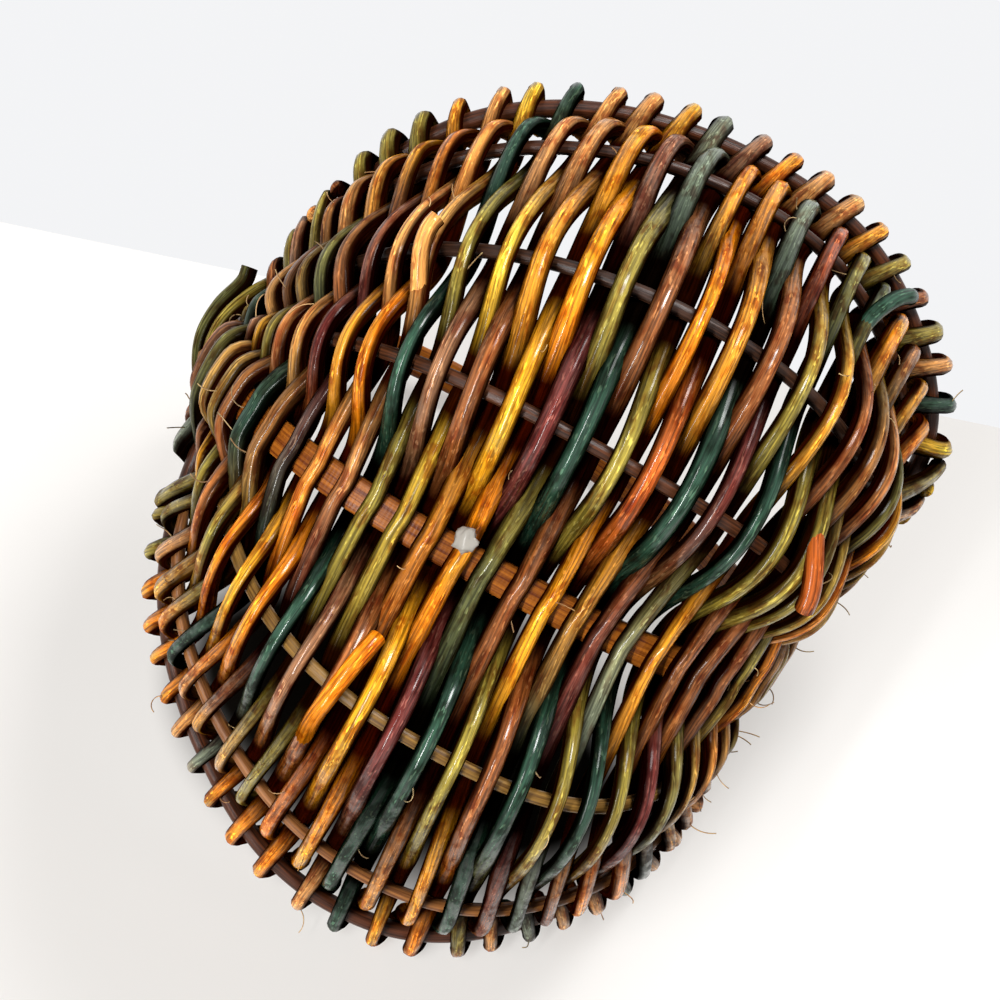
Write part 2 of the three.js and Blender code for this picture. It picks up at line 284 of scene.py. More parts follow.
def uneven_rod(along, turn):
    """A peeled rod is never quite round."""
    return 1 + 0.05 * noise.noise(Vector((along * 60, math.cos(turn), math.sin(turn))))


rim = roll_rod(rim_stations, RIM_SIDES, closed=True, shape=uneven_rod)
finish_piece("rim", rim, rim_wood, "rim_hoop")

# Handle hoop. A flat band of split wood, stained orange, bent to one closed loop: its lower half is the keel
# under the weave and its upper half the handle. Its faces keep the fine cross ridges left by the splitting.
RIDGE_PITCH = 0.0011
RIDGE_DEPTH = 0.09
HANDLE_FULLNESS = 0.9  # under 1 makes the handle's sides steep
BAND_STEPS = 1600
BAND_SIDES = 20
band_points = paths[KEEL][:-1]
for step in range(TRACE_STEPS):
    turn = math.pi * step / TRACE_STEPS
    rise = HANDLE_RISE * math.sin(turn) ** HANDLE_FULLNESS
    band_points.append(RIM_MIDDLE + Vector((BAND_HALF_LENGTH * math.cos(turn), 0, rise)))
band_points = evenly(band_points + band_points[:1], BAND_STEPS)[:-1]


def ridged(along, turn):
    """Cross ridges on the band's two faces, none on its edges."""
    ragged = 0.4 + 0.6 * noise.noise(Vector((along * 90, 3 * math.cos(turn), 0)))
    ridge = math.sin(2 * math.pi * along / RIDGE_PITCH)
    return 1 + RIDGE_DEPTH * ridge * ragged * abs(math.sin(turn)) ** 3


band_stations = stations_along(
    band_points, lambda i: Vector((0, 1, 0)), BAND_WIDTH / 2, BAND_THICKNESS / 2, closed=True
)
band = roll_rod(band_stations, BAND_SIDES, closed=True, square=5.0, shape=ridged)
band_wood = wood_material(
    "band_wood", (0.46, 0.14, 0.014), (0.13, 0.026, 0.004), fineness=0.8, roughness=0.36, gloss=0.2
)
finish_piece("handle_band", band, band_wood, "handle_hoop")

# Ribs. Round rods with whittled ends, three in the wide lobe and two in the narrow one, pushed in between
# the rows of weaving near the two crossings. They are dark in the wide lobe and paler in the narrow one.
RIB_ROD = 0.0038
RIB_WOODS = {
    "rib_wide_1": ((0.075, 0.024, 0.01), (0.018, 0.006, 0.003)),
    "rib_wide_2": ((0.055, 0.022, 0.011), (0.012, 0.005, 0.003)),
    "rib_wide_3": ((0.10, 0.032, 0.012), (0.02, 0.007, 0.003)),
    "rib_narrow_2": ((0.30, 0.16, 0.035), (0.09, 0.04, 0.01)),
    "rib_narrow_1": ((0.45, 0.18, 0.05), (0.15, 0.05, 0.015)),
}
PAIRS = 30
ROWS = 2 * PAIRS
FIRST_ROW = 0.074  # share of each line left bare at its ends
CARRY_CHANGE = (0.4, 0.7)  # between these shares of a line its first carry gives way to its last
RIB_END = 0.012  # share of its line by which a rib goes on past the rows that hold it
RIB_STEPS = 160
RIB_SIDES = 12
WHITTLED = 0.012  # length of a rib's thinned end
RIB_POINT = 0.45  # thickness of its tip, as a share of the rib's


def row_share(row):
    """Where a row of weaving sits, as a share of a framework line."""
    return FIRST_ROW + (1 - 2 * FIRST_ROW) * row / (ROWS - 1)


def line_share(share, at):
    """The rows sway as they cross, carried further along some lines than others, least at the crossings."""
    first, last = LINES[at].carries
    start, end = CARRY_CHANGE
    carry = first + (last - first) * eased((share - start) / (end - start))
    return share + carry * (1 - (2 * share - 1) ** 4)


def whittle(stations):
    """The same stations with the rod's two ends thinned to blunt points."""
    length = stations[-1].along
    thinned = []
    for station in stations:
        from_end = min(station.along, length - station.along)
        size = RIB_POINT + (1 - RIB_POINT) * min(1.0, from_end / WHITTLED)
        half = station.half_width * size
        thinned.append(station._replace(half_width=half, half_thickness=half))
    return thinned


for at, line in enumerate(LINES):
    if line.name not in RIB_WOODS:
        continue
    first = line_share(row_share(2 * line.joins), at) - RIB_END
    last = line_share(row_share(ROWS - 1 - 2 * line.joins), at) + RIB_END
    shares = [first + (last - first) * step / RIB_STEPS for step in range(RIB_STEPS + 1)]
    rib_points = [point_at(paths[at], share) for share in shares]
    outward = [point - BASKET_MIDDLE for point in rib_points]
    rib_stations = whittle(stations_along(rib_points, lambda i: outward[i], RIB_ROD / 2, RIB_ROD / 2))
    rib = roll_rod(rib_stations, RIB_SIDES, shape=uneven_rod)
    pale, dark = RIB_WOODS[line.name]
    rib_wood = wood_material(line.name + "_wood", pale, dark)
    finish_piece(line.name + "_rod", rib, rib_wood, line.name)

# Lashings. At each crossing a thin split reed goes corner to corner round the rim and the band, twice each
# way, and holds the two hoops together. The weaving hides most of it.
LASHING_ROD = 0.0026
LASHING_SLACK = 0.0007  # room that the binding's bends need beyond the hoops
LASHING_STEPS = 72
LASHING_SIDES = 10
CLEARANCE = 0.00055
lashing_wood = wood_material(
    "lashing_reed", (0.42, 0.2, 0.07), (0.12, 0.05, 0.02), fineness=1.2, roughness=0.45, gloss=0.3, bump=0.6
)
for name, end in (("lashing_1", -1), ("lashing_2", 1)):
    inner = HALF_LENGTH - RIM_ROD / 2 - CLEARANCE - LASHING_ROD / 2
    outer = BAND_HALF_LENGTH + BAND_THICKNESS / 2 + CLEARANCE + LASHING_ROD / 2
    depth = (outer - inner) / 2 + LASHING_SLACK
    spread = (BAND_WIDTH / 2 + LASHING_ROD / 2 + CLEARANCE + LASHING_SLACK) * math.sqrt(2)
    both = None
    for slope in (-1, 1):
        loop = []
        for step in range(LASHING_STEPS):
            turn = 2 * math.pi * step / LASHING_STEPS
            square = (math.cos(turn) ** 4 + math.sin(turn) ** 4) ** -0.25
            out = ((outer + inner) / 2 + depth * math.cos(turn) * square) * end
            diagonal = spread * math.sin(turn) * square / math.sqrt(2)
            loop.append(RIM_MIDDLE + Vector((out, diagonal * slope, diagonal)))
        across = Vector((0, 1, -slope))
        stations = stations_along(loop, lambda i: across, LASHING_ROD / 2, LASHING_ROD / 2, closed=True)
        turned = roll_rod(stations, LASHING_SIDES, closed=True, shape=uneven_rod)
        if both is None:
            both = turned
        else:
            join(both, turned)
    finish_piece(name + "_turns", both, lashing_wood, name)

# Weaving reeds. Thirty round reeds, dyed before weaving, each hooked over the wide lobe's rim, woven across
# over and under, turned round the narrow lobe's rim and woven back one row on. The dye took unevenly and
# wanders along the reed, and the whole basket was varnished afterwards.
REED = 0.0048
REED_SIDES = 14
THINNED = 0.14  # share of its thickness that a reed loses on its way to the narrow lobe
TAPER_START = 0.03  # where across the basket it starts to thin, and over what length
TAPER_LENGTH = 0.1
STEP_LENGTH = 0.0013
SIDE_STEP = 0.005  # share of a line to the points beside a row, which give the direction along the lines
LOOK_AHEAD = 0.02  # part of the way to the next stop over which a row's own direction is taken
PRESSED = 0.0005  # how far a reed sinks into what it bends round
TURN_STEP = 15  # degrees between two points of a bend round the rim
HOOK_TURN = 195  # degrees that a reed's start goes round the rim
REED_TAIL = 0.0025  # a reed's end past the rim
STRAY = 0.003  # rows wander from even spacing, as a share of a line
SWELL = 0.31  # how much thicker a reed is drawn where it passes inside a rib, so that its painted shade fills the gaps behind
FRAYS = 7  # the most loose fibres that a reed can have
FIBRE = 0.00032
FIBRE_STEPS = 7
FIBRE_SIDES = 4
FIBRE_COLOUR = Vector((0.75, 0.55, 0.28))
PAINTED_HIGHLIGHT = Vector((2.3, 2.4, 3.4))  # painted highlight: the outer face of a reed is drawn paler than its dye, as where light falls
PAINTED_SHADE = Vector((0.045, 0.012, 0.012))  # painted shade: its flanks, and what passes inside the framework, are drawn darker than its dye
DYES = {
    "yellow": (0.48, 0.26, 0.01),
    "gold": (0.52, 0.215, 0.006),
    "ochre": (0.40, 0.15, 0.006),
    "orange": (0.53, 0.15, 0.003),
    "rust": (0.22, 0.045, 0.004),
    "brown": (0.17, 0.052, 0.009),
    "plum": (0.085, 0.018, 0.01),
    "tan": (0.42, 0.175, 0.03),
    "taupe": (0.20, 0.085, 0.026),
    "olive": (0.165, 0.12, 0.012),
    "grey": (0.10, 0.11, 0.05),
    "green": (0.011, 0.032, 0.013),
}
ROW_DYES = [
    ("tan olive", "olive taupe"),
    ("ochre tan", "tan ochre"),
    ("yellow olive", "tan olive"),
    ("yellow ochre tan", "olive tan"),
    ("yellow orange ochre", "orange tan"),
    ("green olive ochre", "ochre olive tan"),
    ("tan brown green", "brown olive grey"),
    ("olive brown orange", "orange olive plum tan"),
    ("brown brown orange", "green olive olive tan"),
    ("olive ochre plum", "olive green green grey"),
    ("ochre olive grey green", "rust plum olive tan"),
    ("tan brown plum brown", "grey green green olive"),
    ("tan ochre green green", "ochre rust brown orange"),
    ("orange orange gold orange", "orange olive olive gold"),
    ("taupe brown brown ochre", "grey green green green"),
    ("grey olive green green", "taupe plum plum tan"),
    ("gold orange orange gold", "orange gold gold orange"),
    ("tan ochre rust orange", "tan brown brown orange"),
    ("tan yellow olive olive", "tan taupe taupe orange"),
    ("green olive olive tan", "green green green grey"),
    ("yellow tan plum gold", "tan orange orange tan"),
    ("tan tan orange tan", "rust ochre gold orange"),
    ("ochre plum green green", "gold plum orange orange"),
    ("olive brown olive orange", "ochre tan olive orange"),
    ("olive green gold", "tan brown orange"),
    ("olive brown tan", "brown olive olive"),
    ("brown olive", "olive gold olive"),
    ("tan olive", "taupe brown"),
    ("olive green", "green grey"),
    ("brown taupe", "olive brown"),
]
LOOSE_LIFT = 0.0065  # how far a cut end rises from the weave, and how far it bends aside
LOOSE_BEND = 0.004
LOOSE_ENDS = {  # reed: first step, last step and dye of a cut end that lies on top of it
    7: (408, 396, "rust"),
    8: (482, 500, "green"),
    17: (370, 402, "orange"),
    20: (84, 72, "tan"),
}
END_TURNS = [  # where two dark reeds pass round the outside of one crossing, in mm from the rim's middle
    [(87.5, 20.5, 1), (87, 17, 0), (89.5, 8, -2), (89.5, -1, -3), (86, -9, -3), (80, -16, -2), (73, -21, 4)],
    [(78, 22, 3), (84, 15, -5), (87, 6, -7), (86, -3, -8), (82, -10, -7), (76, -17, -4), (70, -20, 4)],
]
END_STEPS = 8  # from one of these places to the next
VARNISH = (0.0169, 0.0072, -0.0922)  # where a drop of varnish dried white, from the rim's middle
VARNISH_SIZE = 0.003
VARNISHED_REED = 16


def thickness(point):
    """A reed's thickness where it passes a point: reeds taper, and all were started at the wide lobe."""
    return REED * (1 - THINNED * eased((TAPER_START - point.y) / TAPER_LENGTH))


def spline_point(points, at):
    """A point on the smooth curve through a row's stops, at being counted in stops."""
    i = min(int(at), len(points) - 2)
    part = at - i
    here = points[i]
    there = points[i + 1]
    before = points[i - 1] if i else here * 2 - there
    after = points[i + 2] if i + 2 < len(points) else there * 2 - here
    first = math.sqrt((here - before).length)
    middle = math.sqrt((there - here).length)
    last = math.sqrt((after - there).length)
    leave = (here - before) / first - (there - before) / (first + middle) + (there - here) / middle
    reach = (there - here) / middle - (after - here) / (middle + last) + (after - there) / last
    leave *= middle
    reach *= middle
    bend = (here - there) * 2 + leave + reach
    swing = (there - here) * 3 - leave * 2 - reach
    return here + leave * part + swing * part * part + bend * part ** 3


Stop = namedtuple("Stop", "at edge half_thickness")
Knot = namedtuple("Knot", "point across middle out ahead")


def stops_for(pair):
    """What a row passes, in order: the line, the side step to the band's edges and half its thickness."""
    from_end = min(pair, PAIRS - 1 - pair)
    stops = []
    for at, line in enumerate(LINES):
        if line.joins > from_end:
            continue
        if at == KEEL:
            stops.append(Stop(at, BAND_WIDTH / 2 + CLEARANCE, BAND_THICKNESS / 2))
            stops.append(Stop(at, -BAND_WIDTH / 2 - CLEARANCE, BAND_THICKNESS / 2))
        else:
            rod = RIM_ROD if line.name.startswith("rim") else RIB_ROD
            stops.append(Stop(at, 0.0, rod / 2))
    return stops


def sides_for(stops, outside):
    """1 where the row passes outside a stop, -1 where it passes inside. The keel's two edges go together."""
    keel = [stop.at for stop in stops].index(KEEL)
    sign = 1 if outside else -1
    return [sign * (-1) ** abs(i - (keel if i <= keel else keel + 1)) for i in range(len(stops))]


def weave_row(pair, row, outside, chance):
    """A row's knots: its points, each with the direction along the lines, outward and along the row."""
    stops = stops_for(pair)
    strays = [chance.uniform(-STRAY, STRAY) for line in LINES]
    signs = sides_for(stops, outside)
    share = row_share(row)

    def through(place):
        """Where a row passes its stops, place being its share of the lines."""
        found = []
        for stop in stops:
            passed = line_share(place + strays[stop.at], stop.at)
            found.append(point_at(paths[stop.at], passed) + Vector((0, stop.edge, 0)))
        return found

    here = through(share)
    next_row = through(share + SIDE_STEP)
    swings = []
    for sign, stop, point in zip(signs, stops, here):
        swings.append(sign * (stop.half_thickness + CLEARANCE + thickness(point) / 2 - PRESSED))
    woven = []
    for i in range(len(stops) - 1):
        pieces = max(3, round((here[i + 1] - here[i]).length / STEP_LENGTH))
        last = i == len(stops) - 2
        for piece in range(pieces + (1 if last else 0)):
            part = piece / pieces
            at = i + part
            middle = spline_point(here, at)
            after = spline_point(here, min(at + LOOK_AHEAD, len(stops) - 1))
            ahead = after - spline_point(here, max(at - LOOK_AHEAD, 0))
            across = (spline_point(next_row, at) - middle).normalized()
            out = ahead.cross(across).normalized()
            if out.dot(middle - BASKET_MIDDLE) < 0:
                out.negate()
            ease = (1 - math.cos(math.pi * part)) / 2
            swing = swings[i] * (1 - ease) + swings[i + 1] * ease
            woven.append(Knot(middle + out * swing, across, middle, out, ahead.normalized()))
    return woven, swings


def round_rim(knot, swing, degrees):
    """A point on the way round the rim, turned by an angle from where the row meets it."""
    turn = math.radians(degrees)
    up = knot.across.cross(knot.out)
    if up.dot(knot.ahead) < 0:
        up.negate()
    return knot.middle + knot.out * (swing * math.cos(turn)) + up * (abs(swing) * math.sin(turn))


def blend_knots(a, b, part):
    """A row's end part of the way to the next row's end."""
    return Knot(*(x.lerp(y, part) for x, y in zip(a, b)))


def turned_back(knot):
    """A row's start, looking out over the rim."""
    return knot._replace(ahead=-knot.ahead)


def dyes_between(names, first, last):
    """Dyes spread evenly along a stretch of reed, each with its place."""
    gap = (last - first) / (len(names) - 1)
    return [(first + gap * i, Vector(DYES[name])) for i, name in enumerate(names)]


def dye_at(dyes, along):
    """The colour at a place along the reed, where one dye runs into the next."""
    if along <= dyes[0][0]:
        return dyes[0][1]
    for (first, before), (last, after) in zip(dyes, dyes[1:]):
        if along < last:
            share = (along - first) / (last - first)
            return before.lerp(after, eased(share))
    return dyes[-1][1]


def fray(root, heading, length, colour, chance):
    """A thin fibre that sprang loose from a reed and curls away from it."""
    axis = Vector((chance.uniform(-1, 1), chance.uniform(-1, 1), chance.uniform(-1, 1))).normalized()
    curl = Quaternion(axis, chance.uniform(0.1, 0.4))
    points = [root]
    for step in range(FIBRE_STEPS):
        points.append(points[-1] + heading * (length / FIBRE_STEPS))
        heading = curl @ heading
    stations = stations_along(points, lambda i: axis.cross(heading), FIBRE / 2, FIBRE / 2)
    return roll_rod(stations, FIBRE_SIDES, dye=lambda ring, turn: (*colour, 0))


def facing(station, turn, toward):
    """How far the surface at an angle round a rod faces a direction: 1 fully, -1 away from it."""
    return (station.across * math.cos(turn) + station.up * math.sin(turn)).dot(toward)


def dye_with_painted_light(colour, face, lift):
    """One dye with painted light: a painted highlight on the outer face and painted shade elsewhere. lift
    widens the highlight.
    """
    tone = PAINTED_SHADE.lerp(PAINTED_HIGHLIGHT, min(max(face + lift, 0.0), 1.0))
    return (colour.x * tone.x, colour.y * tone.y, colour.z * tone.z, max(face, 0.0))


def loose_end(points, faces, acrosses, first, last, size, colour):
    """A reed's cut end, which rises from the weave where it was let in, and bends over."""
    step = 1 if last > first else -1
    rings = list(range(first, last + step, step))
    path = []
    for i, ring in enumerate(rings):
        rise = i / (len(rings) - 1)
        lift = faces[ring] * (LOOSE_LIFT * eased(rise))
        path.append(points[ring] + lift - acrosses[ring] * (LOOSE_BEND * rise ** 3))
    half = size * thickness(path[0]) / REED
    stations = stations_along(path, lambda i: faces[first].cross(path[-1] - path[0]), half, half)

    def dyed(ring, turn):
        # Painted highlight on the face toward the end's outer side, painted shade elsewhere
        return dye_with_painted_light(colour, facing(stations[ring], turn, faces[last]), 0.3)

    return roll_rod(stations, REED_SIDES, shape=uneven_rod, dye=dyed)


def end_turn(places, size, colour):
    """A reed that goes round the outside of a crossing of the hoops."""
    stops = [RIM_MIDDLE + Vector(place) / 1000 for place in places]
    path = [spline_point(stops, i / END_STEPS) for i in range(END_STEPS * (len(stops) - 1) + 1)]
    stations = stations_along(path, lambda i: Vector((0, 0, 1)), size, size)
    outward = [(point - BASKET_MIDDLE).normalized() for point in path]

    def dyed(ring, turn):
        # Painted highlight on the outward face, painted shade elsewhere
        return dye_with_painted_light(colour, facing(stations[ring], turn, outward[ring]), 0.2)

    return roll_rod(stations, REED_SIDES, shape=uneven_rod, dye=dyed)


def varnish_drop(place, size):
    """A flattened drop of dried varnish."""
    drop = bmesh.new()
    drop.verts.layers.float_vector.new("straight")
    colour = drop.verts.layers.float_color.new("dye")
    bmesh.ops.create_icosphere(drop, subdivisions=3, radius=size)
    out = (RIM_MIDDLE + place - BASKET_MIDDLE).normalized()
    for vert in drop.verts:
        lump = 1 + 0.5 * noise.noise(vert.co * 600)
        vert.co = vert.co * lump - out * (vert.co.dot(out) * lump * 0.6) + RIM_MIDDLE + place
        vert[colour] = (0.45, 0.43, 0.38, 0.6)
    for face in drop.faces:
        face.smooth = True
    return drop


def build_dyed_reed():
    """Dyed round reed under varnish: blotchy dye, long fibres, and pale flecks where the varnish dried thick,
    which also act as painted glints.
    The dye attribute holds painted highlight and shade; its alpha is 1 on the outer face of a reed, where the
    flecks are."""
    material = bpy.data.materials.new("dyed_reed")
    material.use_nodes = True
    tree = material.node_tree
    link = tree.links.new
    shader = tree.nodes["Principled BSDF"]
    shader.inputs["Specular IOR Level"].default_value = 0.0
    shader.inputs["Coat Roughness"].default_value = 0.14
    straight = add_node(tree, "Attribute", attribute_name="straight")
    dye = add_node(tree, "Attribute", attribute_name="dye")
    fibres = add_node(tree, "Group", node_tree=long_fibres)
    fibres.inputs["Fineness"].default_value = 1.0
    link(straight.outputs["Vector"], fibres.inputs["Straight"])
    streak = add_node(tree, "MapRange", {"From Min": 0.38, "From Max": 0.62, "To Min": 0.4, "To Max": 1.35})
    link(fibres.outputs["Fibre"], streak.inputs["Value"])
    streaked = add_node(tree, "VectorMath", operation="SCALE")
    link(dye.outputs["Color"], streaked.inputs[0])
    link(streak.outputs["Result"], streaked.inputs["Scale"])
    darker = add_node(tree, "VectorMath", operation="MULTIPLY")
    darker.inputs[1].default_value = (0.6, 0.4, 0.4)
    link(streaked.outputs["Vector"], darker.inputs[0])
    blotch = add_node(tree, "MapRange", {"From Min": 0.36, "From Max": 0.52})
    link(fibres.outputs["Mottle"], blotch.inputs["Value"])
    blotched = add_node(tree, "Mix", data_type="RGBA")
    link(blotch.outputs["Result"], blotched.inputs["Factor"])
    link(darker.outputs["Vector"], blotched.inputs["A"])
    link(streaked.outputs["Vector"], blotched.inputs["B"])
    # Pale flecks on the outer face: dried varnish, and in part painted glints
    fleck_and_glint = add_node(tree, "MapRange", {"From Min": 0.6, "From Max": 0.68})
    link(fibres.outputs["Speck"], fleck_and_glint.inputs["Value"])
    on_face = add_node(tree, "Math", operation="MULTIPLY")
    link(fleck_and_glint.outputs["Result"], on_face.inputs[0])
    link(dye.outputs["Alpha"], on_face.inputs[1])
    flecked_and_glinted = add_node(tree, "Mix", data_type="RGBA")
    paler = add_node(tree, "VectorMath", operation="MULTIPLY_ADD")
    paler.inputs[1].default_value = (1.9, 2.0, 2.1)
    paler.inputs[2].default_value = (0.045, 0.04, 0.022)
    link(streaked.outputs["Vector"], paler.inputs[0])
    link(paler.outputs["Vector"], flecked_and_glinted.inputs["B"])
    link(on_face.outputs["Value"], flecked_and_glinted.inputs["Factor"])
    link(blotched.outputs["Result"], flecked_and_glinted.inputs["A"])
    link(flecked_and_glinted.outputs["Result"], shader.inputs["Base Color"])
    wet = add_node(tree, "MapRange", {"From Min": 0.42, "From Max": 0.6, "To Min": 0.3, "To Max": 1.0})
    link(fibres.outputs["Mottle"], wet.inputs["Value"])
    gloss = add_node(tree, "Math", operation="MULTIPLY")
    link(wet.outputs["Result"], gloss.inputs[0])
    link(dye.outputs["Alpha"], gloss.inputs[1])
    link(gloss.outputs["Value"], shader.inputs["Coat Weight"])
    rough = add_node(tree, "MapRange", {"To Min": 0.6, "To Max": 0.14})
    link(dye.outputs["Alpha"], rough.inputs["Value"])
    link(rough.outputs["Result"], shader.inputs["Roughness"])
    grooves = add_node(tree, "Bump", {"Strength": 0.7, "Distance": 0.0005})
    specks = add_node(tree, "Bump", {"Strength": 0.75, "Distance": 0.0006})
    link(fibres.outputs["Fibre"], grooves.inputs["Height"])
    link(fibres.outputs["Speck"], specks.inputs["Height"])
    link(grooves.outputs["Normal"], specks.inputs["Normal"])
    link(specks.outputs["Normal"], shader.inputs["Normal"])
    return material


RIM_OUTER = 0.6  # how far out a reed counts as being, in thicknesses of reed, while it goes round the rim
WANDER = 0.03  # how far the places where the dyes meet can wander along the reed
BRIGHTEST = 0.95  # palest that a dye can get
dyed_reed = build_dyed_reed()
rim_turns = range(TURN_STEP, 180, TURN_STEP)
for pair in range(PAIRS):
    chance = random.Random(pair)
    out_row, out_swings = weave_row(pair, 2 * pair, True, chance)
    back_row, _ = weave_row(pair, 2 * pair + 1, False, chance)
    start = turned_back(out_row[0])
    points = [round_rim(start, out_swings[0], degrees) for degrees in range(HOOK_TURN, 0, -TURN_STEP)]
    knots = [start] * len(points)
    out_start = len(points)
    points += [knot.point for knot in out_row]
    knots += out_row
    for degrees in rim_turns:
        knot = blend_knots(out_row[-1], back_row[-1], degrees / 180)
        points.append(round_rim(knot, out_swings[-1], degrees))
        knots.append(knot)
    points += [knot.point for knot in reversed(back_row)]
    knots += back_row[::-1]
    points.append(points[-1] + turned_back(back_row[0]).ahead * REED_TAIL)
    knots.append(knots[-1])
    acrosses = [knot.across for knot in knots]
    outers = [(point - knot.middle).dot(knot.out) / REED for point, knot in zip(points, knots)]
    faces = [knot.out for knot in knots]
    rim_start = out_start + len(out_row)
    for i in [*range(out_start), *range(rim_start, rim_start + len(rim_turns))]:
        faces[i] = (points[i] - knots[i].middle).normalized()
        outers[i] = max(outers[i], RIM_OUTER)
    twist = chance.uniform(-12, 12)
    size = REED / 2 * chance.uniform(0.86, 1.1)
    seed = chance.uniform(0, 100)
    stations = stations_along(points, lambda i: acrosses[i], size, size, twist=twist)
    # From 0, where the reed is inside the framework, to 1, where it shows outside: it sets painted light and
    # swell
    shown = [min(max(0.43 + 0.65 * outer, 0.0), 1.0) for outer in outers]
    for i, station in enumerate(stations):
        half = size * thickness(station.at) / REED * (1 + SWELL * (1 - shown[i]))
        stations[i] = station._replace(half_width=half, half_thickness=half)
    out_dyes, back_dyes = ROW_DYES[pair]
    out_end = rim_start - 1
    back_start = len(points) - 1 - len(back_row)
    dyes = dyes_between(out_dyes.split(), stations[out_start].along, stations[out_end].along)
    dyes += dyes_between(back_dyes.split()[::-1], stations[back_start].along, stations[-1].along)

    def lumpy(along, turn):
        """A reed's thickness varies slowly along it, and shallow flutes run along its sides."""
        slow = noise.noise(Vector((along * 35, seed, 0)))
        flute = noise.noise(Vector((along * 12 + seed, 1.6 * math.cos(turn), 1.6 * math.sin(turn))))
        return 1 + 0.05 * slow + 0.14 * flute

    def dyed(ring, turn):
        """The dye with painted light: highlight on the outer face of what shows, less on the inner face of
        what doesn't, shade elsewhere.
        """
        station = stations[ring]
        wander = noise.noise(Vector((station.along * 25, seed, 5)))
        depth = 1 + 0.35 * noise.noise(Vector((station.along * 60, seed, 9)))
        out = facing(station, turn, faces[ring])
        face = eased((out - 0.4) / 0.55) * shown[ring]
        inner_face = min(max((-out - 0.35) / 0.6, 0.0), 1.0) * (1 - shown[ring])
        # Painted shade on flanks and on what passes inside, painted highlight on outer faces
        tone = PAINTED_SHADE.lerp(PAINTED_HIGHLIGHT, face + 0.6 * inner_face)
        dye = dye_at(dyes, station.along + WANDER * wander) * depth
        return (min(dye.x * tone.x, BRIGHTEST), min(dye.y * tone.y, BRIGHTEST), dye.z * tone.z, face)

    reed = roll_rod(stations, REED_SIDES, shape=lumpy, dye=dyed)
    for i in range(FRAYS):
        ring = chance.randrange(out_start, len(points) - 1)
        if outers[ring] < 0.3:
            continue
        side = stations[ring].across * chance.choice((-1, 1))
        root = points[ring] + (faces[ring] + side).normalized() * (size * 0.9)
        heading = faces[ring] * chance.uniform(0.2, 0.8) + side * 0.6
        heading += knots[ring].ahead * chance.uniform(-1, 1)
        pale = dye_at(dyes, stations[ring].along).lerp(FIBRE_COLOUR, 0.6)
        join(reed, fray(root, heading.normalized(), chance.uniform(0.003, 0.008), pale, chance))
    if pair in LOOSE_ENDS:
        first, last, dye = LOOSE_ENDS[pair]
        join(reed, loose_end(points, faces, acrosses, first, last, size, Vector(DYES[dye])))
    if pair == VARNISHED_REED:
        join(reed, varnish_drop(Vector(VARNISH), VARNISH_SIZE))
    if pair == PAIRS - 1:
        for places, dye in zip(END_TURNS, ("green", "olive")):
            join(reed, end_turn(places, size, Vector(DYES[dye]).lerp(Vector(DYES["olive"]), 0.4)))
    name = f"{pair + 1:02d}"
    finish_piece("reed_" + name, reed, dyed_reed, "weaver_" + name)

# Camera, where the photograph was taken from: below the standing basket, looking up at its underside. Its
# place and lens were fitted to points of the rim, the keel and the ribs.
SENSOR = 36.0
ZOOM = 3.7645  # focal length, counted in widths of the sensor
camera = bpy.data.objects.new("camera", bpy.data.cameras.new("camera"))
scene.collection.objects.link(camera)
CAMERA_PLACE = RIM_MIDDLE + Vector((0.1789, 0.2345, -0.9749))
VIEW = Vector((-0.178, -0.232, 0.956)).normalized()
ABOUT_UP = Vector((0.473, 0.832, 0.290))
picture_right = VIEW.cross(ABOUT_UP).normalized()
picture_up = picture_right.cross(VIEW)
turn = Matrix((picture_right, picture_up, -VIEW)).transposed()
camera.matrix_world = Matrix.Translation(CAMERA_PLACE) @ turn.to_4x4()
camera.data.sensor_width = SENSOR
camera.data.lens = SENSOR * ZOOM
camera.data.clip_start = 0.01
scene.camera = camera

# Floor. A pale table that the tipped basket lies on: it touches the narrow lobe's rim and the handle. It is
# seen only from above, so that it hides nothing when the basket is looked at from other sides. Where the
# narrow lobe covers it, a shadow is painted on it in near black, as in the photograph.
TABLE_SIZE = 1.5  # from its middle to an edge
SHADE_ENDS = ((-0.52, -0.3), (0.14, -0.6))  # places in the picture between which the painted shadow is darkest
SHADE_EDGE = (0.118, 0.156)  # distances to both, added up, at which the painted shadow starts to fade and is gone
TABLE_TILT = math.radians(69.3)
TABLE_ROLL = math.radians(15)
level = picture_right * math.sin(TABLE_ROLL) + picture_up * math.cos(TABLE_ROLL)
table_up = level * math.cos(TABLE_TILT) - VIEW * math.sin(TABLE_TILT)
lowest = min(
    vert.co.dot(table_up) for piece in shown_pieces() for vert in piece.data.vertices if not piece.hide_render
)
HALF_PICTURE = 0.5 / ZOOM


def on_table(right, up):
    """The table's point behind a place in the picture, counted from the picture's middle in half pictures."""
    ray = VIEW + (picture_right * right + picture_up * up) * HALF_PICTURE
    return CAMERA_PLACE + ray * ((lowest - CAMERA_PLACE.dot(table_up)) / ray.dot(table_up))


def directly_seen(tree):
    """1 for what the camera sees, also in reflections and through glass, and 0 for light on its way."""
    rays = add_node(tree, "LightPath")
    seen = add_node(tree, "Math", operation="MAXIMUM")
    either = add_node(tree, "Math", operation="MAXIMUM")
    tree.links.new(rays.outputs["Is Camera Ray"], seen.inputs[0])
    tree.links.new(rays.outputs["Is Glossy Ray"], seen.inputs[1])
    tree.links.new(seen.outputs["Value"], either.inputs[0])
    tree.links.new(rays.outputs["Is Transmission Ray"], either.inputs[1])
    return either.outputs["Value"]


table = bmesh.new()
